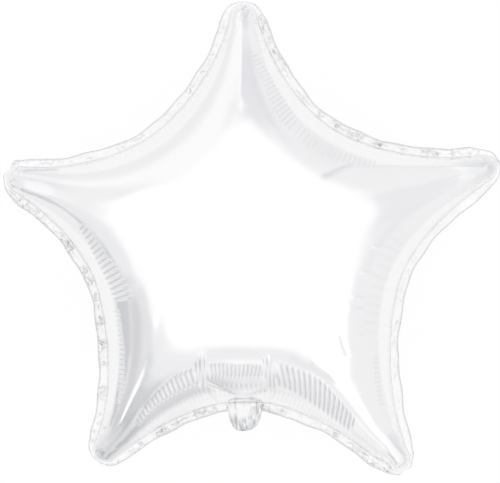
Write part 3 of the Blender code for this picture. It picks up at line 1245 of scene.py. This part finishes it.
def film_waves_group() -> bpy.types.NodeTree:
    """Shader group of the film's slack waves and fine grain, shared by its finishes."""
    wave_seed, grain_seed, patch_seed = 3.0, 5.0, 8.0
    patches_per_wave = 0.4
    group = bpy.data.node_groups.new("film_waves", "ShaderNodeTree")
    face = group.interface
    face.new_socket("Place", in_out="INPUT", socket_type="NodeSocketVector")
    for label, value in (("Wave Size", 0.03), ("Grain Size", 0.002), ("Grain Share", 0.1)):
        face.new_socket(label, in_out="INPUT", socket_type="NodeSocketFloat").default_value = value
    face.new_socket("Height", in_out="OUTPUT", socket_type="NodeSocketFloat")
    face.new_socket("Patch", in_out="OUTPUT", socket_type="NodeSocketFloat")
    build = TreeBuilder(group)
    entry = build.node("NodeGroupInput")
    place, wave_size = entry.outputs["Place"], entry.outputs["Wave Size"]
    waves = build.noise(place, build.inverse(wave_size), wave_seed, 1.0)
    grain = build.noise(place, build.inverse(entry.outputs["Grain Size"]), grain_seed, 2.0)
    patch = build.noise(place, build.math("DIVIDE", patches_per_wave, wave_size), patch_seed, 1.0)
    out = build.node("NodeGroupOutput")
    height = build.math("MULTIPLY_ADD", grain, entry.outputs["Grain Share"], waves)
    build.put(out.inputs["Height"], height)
    build.put(out.inputs["Patch"], patch)
    return group


@dataclass(frozen=True)
class SoftBox:
    """A soft-edged bright or dark stretch of the studio round the balloon.

    Angles are in degrees: the turns from +X towards +Y, the falls down from straight up.
    """

    turns: tuple[float, float]
    falls: tuple[float, float]
    softness: tuple[float, float]
    colour: tuple[float, float, float]


@dataclass
class Studio:
    """Pale floor, soft light all round and the camera."""

    surround: tuple[float, float, float] = (0.885, 0.885, 0.89)
    boxes: tuple[SoftBox, ...] = (
        SoftBox((-200, 200), (-60, 54), (1, 5), (1.12, 1.12, 1.12)),
        SoftBox((-64, -12), (40, 57), (4, 1.5), (1.12, 1.12, 1.12)),
        SoftBox((134, 178), (40, 57.5), (6, 2), (1.12, 1.12, 1.12)),
        SoftBox((172, 196.5), (40, 60), (1, 4), (1.10, 1.10, 1.10)),
        SoftBox((-150, -76), (46, 62), (7, 3), (0.86, 0.86, 0.87)),
        SoftBox((-3, 36), (51, 64), (6, 3.5), (0.80, 0.80, 0.83)),
        SoftBox((-14, 36), (62, 73), (6, 3), (0.79, 0.79, 0.82)),
        SoftBox((69, 98), (53, 62), (6, 2.5), (0.74, 0.74, 0.77)),
        SoftBox((62, 98), (61, 74), (4, 2.5), (0.70, 0.70, 0.74)),
        SoftBox((112, 134), (50, 82), (4, 8), (1.04, 1.04, 1.04)),
        SoftBox((-178, -165), (62, 84), (4, 6), (0.82, 0.82, 0.84)),
        SoftBox((-163.6, -140), (55, 78), (1, 3), (0.72, 0.72, 0.74)),
        SoftBox((-162.8, -146), (66, 79), (1.6, 4), (0.52, 0.52, 0.55)),
        SoftBox((-170, -161.3), (79, 102), (1.2, 3), (0.46, 0.47, 0.50)),
        SoftBox((-146, -101), (57.5, 69), (4, 3), (0.46, 0.47, 0.49)),
        SoftBox((-108, -84), (58, 88), (5, 3), (0.96, 0.96, 0.96)),
        SoftBox((-97, -80), (59, 69), (4, 3), (1.04, 1.04, 1.04)),
        SoftBox((-90, -74), (72, 100), (5, 5), (0.58, 0.58, 0.61)),
        SoftBox((-144.5, -138.5), (60.5, 69.5), (1.5, 1.5), (1.50, 1.50, 1.50)),
        SoftBox((-152.5, -150), (48.5, 52.5), (0.7, 0.9), (1.60, 1.60, 1.60)),
        SoftBox((-71, -47), (46, 62), (3, 2), (1.20, 1.20, 1.20)),
    )
    camera_height: float = 2.6
    floor_size: float = 1.0
    floor_shadow: float = 0.08
    floor_colour: tuple[float, float, float] = (0.80, 0.80, 0.80)
    floor_level: float = 0.74
    white: tuple[float, float, float, float] = (1.0, 1.0, 1.0, 1.0)

    @staticmethod
    def inside(
        build: TreeBuilder, turn: bpy.types.NodeSocket, fall: bpy.types.NodeSocket, box: SoftBox
    ) -> bpy.types.NodeSocket:
        """How far a direction is inside a soft box.

        Args:
            build: Builder of the world's tree.
            turn: The direction's turn from +X towards +Y.
            fall: Its fall from straight up.
            box: The soft box.

        Returns:
            1 inside, 0 outside and between them at the soft edge.
        """
        across = build.math("SUBTRACT", turn, math.radians(sum(box.turns) / 2))
        across = build.math("WRAP", across, math.pi, -math.pi)
        down = build.math("SUBTRACT", fall, math.radians(sum(box.falls) / 2))
        share: object = 1.0
        for offset, (low, high), soft in zip((across, down), (box.turns, box.falls), box.softness):
            edge = build.node("ShaderNodeMapRange", interpolation_type="SMOOTHSTEP")
            build.put(edge.inputs["Value"], build.math("ABSOLUTE", offset))
            edge.inputs["From Min"].default_value = math.radians((high - low) / 2 + soft)
            edge.inputs["From Max"].default_value = math.radians((high - low) / 2 - soft)
            share = build.math("MULTIPLY", edge.outputs["Result"], share)
        return share

    def light(self) -> None:
        """Builds the world: white to the camera, and the soft boxes to everything else."""
        world = bpy.data.worlds.new("studio")
        bpy.context.scene.world = world
        world.use_nodes = True
        world.node_tree.nodes.clear()
        build = TreeBuilder(world.node_tree)
        axes = build.node("ShaderNodeSeparateXYZ")
        build.put(axes.inputs[0], build.node("ShaderNodeTexCoord").outputs["Generated"])
        turn = build.math("ARCTAN2", axes.outputs["Y"], axes.outputs["X"])
        fall = build.math("ARCCOSINE", axes.outputs["Z"])
        colour: object = (*self.surround, 1.0)
        for box in self.boxes:
            colour = build.mix_colours(self.inside(build, turn, fall, box), colour, (*box.colour, 1.0))
        lit = build.node("ShaderNodeBackground")
        build.put(lit.inputs["Color"], colour)
        seen = build.node("ShaderNodeBackground")
        seen.inputs["Color"].default_value = self.white
        chosen = build.node("ShaderNodeMixShader")
        build.put(chosen.inputs["Fac"], build.node("ShaderNodeLightPath").outputs["Is Camera Ray"])
        build.put(chosen.inputs[1], lit.outputs[0])
        build.put(chosen.inputs[2], seen.outputs[0])
        out = build.node("ShaderNodeOutputWorld")
        build.put(out.inputs["Surface"], chosen.outputs[0])

    def floor(self) -> bpy.types.Object:
        """Builds the pale floor, which keeps a faint shadow of the balloon."""
        half = self.floor_size / 2
        corners = [(-half, -half, 0), (half, -half, 0), (half, half, 0), (-half, half, 0)]
        mesh = bpy.data.meshes.new("floor")
        mesh.from_pydata(corners, [], [(0, 1, 2, 3)])
        material = bpy.data.materials.new("pale_floor")
        material.use_nodes = True
        material.node_tree.nodes.clear()
        build = TreeBuilder(material.node_tree)
        matt = build.node("ShaderNodeBsdfDiffuse")
        matt.inputs["Color"].default_value = (*self.floor_colour, 1.0)
        kept = 1 - self.floor_shadow
        white = build.node("ShaderNodeEmission")
        white.inputs["Color"].default_value = self.white
        white.inputs["Strength"].default_value = (1 - self.floor_shadow * self.floor_level) / kept
        path = build.node("ShaderNodeLightPath")
        either = build.math("MAXIMUM", path.outputs["Is Camera Ray"], path.outputs["Is Glossy Ray"])
        share = build.math("MULTIPLY", either, kept)
        mixed = build.node("ShaderNodeMixShader")
        build.put(mixed.inputs["Fac"], share)
        build.put(mixed.inputs[1], matt.outputs[0])
        build.put(mixed.inputs[2], white.outputs[0])
        out = build.node("ShaderNodeOutputMaterial")
        build.put(out.inputs["Surface"], mixed.outputs[0])
        mesh.materials.append(material)
        floor = bpy.data.objects.new("floor", mesh)
        bpy.context.scene.collection.objects.link(floor)
        return floor

    def camera(self, weld_height: float) -> None:
        """Sets the camera straight above, framed as the photograph is.

        Args:
            weld_height: Height of the weld plane, where the photograph's scale holds.
        """
        middle = from_photo(PHOTO_SIZE[0] / 2, PHOTO_SIZE[1] / 2)
        data = bpy.data.cameras.new("camera")
        data.sensor_fit = "HORIZONTAL"
        distance = self.camera_height - weld_height
        data.lens = data.sensor_width * distance / (PHOTO_SIZE[0] * METRES_PER_PIXEL)
        camera = bpy.data.objects.new("camera", data)
        camera.location = Vector((middle[0], middle[1], self.camera_height))
        bpy.context.scene.collection.objects.link(camera)
        bpy.context.scene.camera = camera

    def build(self, weld_height: float) -> None:
        """Sets up the light, the floor and the camera."""
        scene = bpy.context.scene
        scene.view_settings.view_transform = "Standard"
        self.light()
        self.floor()
        self.camera(weld_height)


@dataclass
class StarBalloon:
    """The whole balloon: two panels and the margin that joins them."""

    outline: StarOutline = field(default_factory=StarOutline)
    panel_finish: FilmFinish = FilmFinish(
        "white_metallised_film",
        colour=(0.95, 0.95, 0.955),
        shade=(0.92, 0.92, 0.93),
        metallic=0.6,
        roughness=0.08,
        wave_size=0.03,
        wave_height=0.0004,
        grain_size=0.002,
        grain_height=0.00002,
        # Painted shade in the panels' grooves, crinkles and folds.
        groove=(0.42, 0.43, 0.45),
        shade_share=0.55,
    )
    margin_finish: FilmFinish = FilmFinish(
        "sealed_film",
        colour=(0.96, 0.96, 0.96),
        shade=(0.90, 0.90, 0.91),
        metallic=0.6,
        roughness=0.2,
        wave_size=0.006,
        wave_height=0.0003,
        grain_size=0.0012,
        grain_height=0.00006,
        # Painted shade along the margin's creases, on some facets and on its rim.
        groove=(0.40, 0.41, 0.43),
        shade_share=0.55,
    )

    def build(self) -> tuple[float, list[bpy.types.Object]]:
        """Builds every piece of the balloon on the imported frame.

        Returns:
            The height of the weld plane, and the pieces.
        """
        low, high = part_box(NODE)
        film = BlownFilm()
        columns = self.outline.columns()
        film.fit(columns.feet)
        neck = Neck()
        weld_height = high[2] - film.half_thickness
        waves = film_waves_group()
        panel_material = self.panel_finish.material(waves)
        margin_material = self.margin_finish.material(waves)
        gather = pleated_film_tree()
        pieces = []
        for side, pleats, folds, seed in (
            (Side.FRONT, FRONT_PLEATS, FRONT_FOLDS, 1.0),
            (Side.BACK, BACK_PLEATS, (), 2.0),
        ):
            panel = Panel(side, film, columns, weld_height, low[2], neck, pleats, folds, seed)
            pieces.append(panel.build(gather, panel_material))
        margin = WeldedMargin(columns, weld_height, neck)
        pieces.append(margin.build(crumpled_margin_tree(), margin_material))
        for piece in pieces:
            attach(piece, BODY)
            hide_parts(NODE)
            made = piece.data
            LOG.info("%s: %d points, %d faces", piece.name, len(made.vertices), len(made.polygons))
        return weld_height, pieces


def main() -> None:
    """Builds the balloon and its studio, and logs each piece's points and faces and how many pieces there
    are.
    """
    logging.basicConfig(level=logging.INFO)
    weld_height, pieces = StarBalloon().build()
    Studio().build(weld_height)
    bpy.context.view_layer.update()
    LOG.info("%d pieces", len(pieces))


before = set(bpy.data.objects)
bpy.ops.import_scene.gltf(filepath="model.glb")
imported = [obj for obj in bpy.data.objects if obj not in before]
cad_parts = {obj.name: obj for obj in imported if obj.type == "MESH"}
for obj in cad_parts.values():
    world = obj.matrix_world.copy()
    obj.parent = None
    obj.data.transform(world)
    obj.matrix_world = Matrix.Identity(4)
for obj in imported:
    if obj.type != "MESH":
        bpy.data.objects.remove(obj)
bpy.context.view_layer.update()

if __name__ == "__main__":
    main()
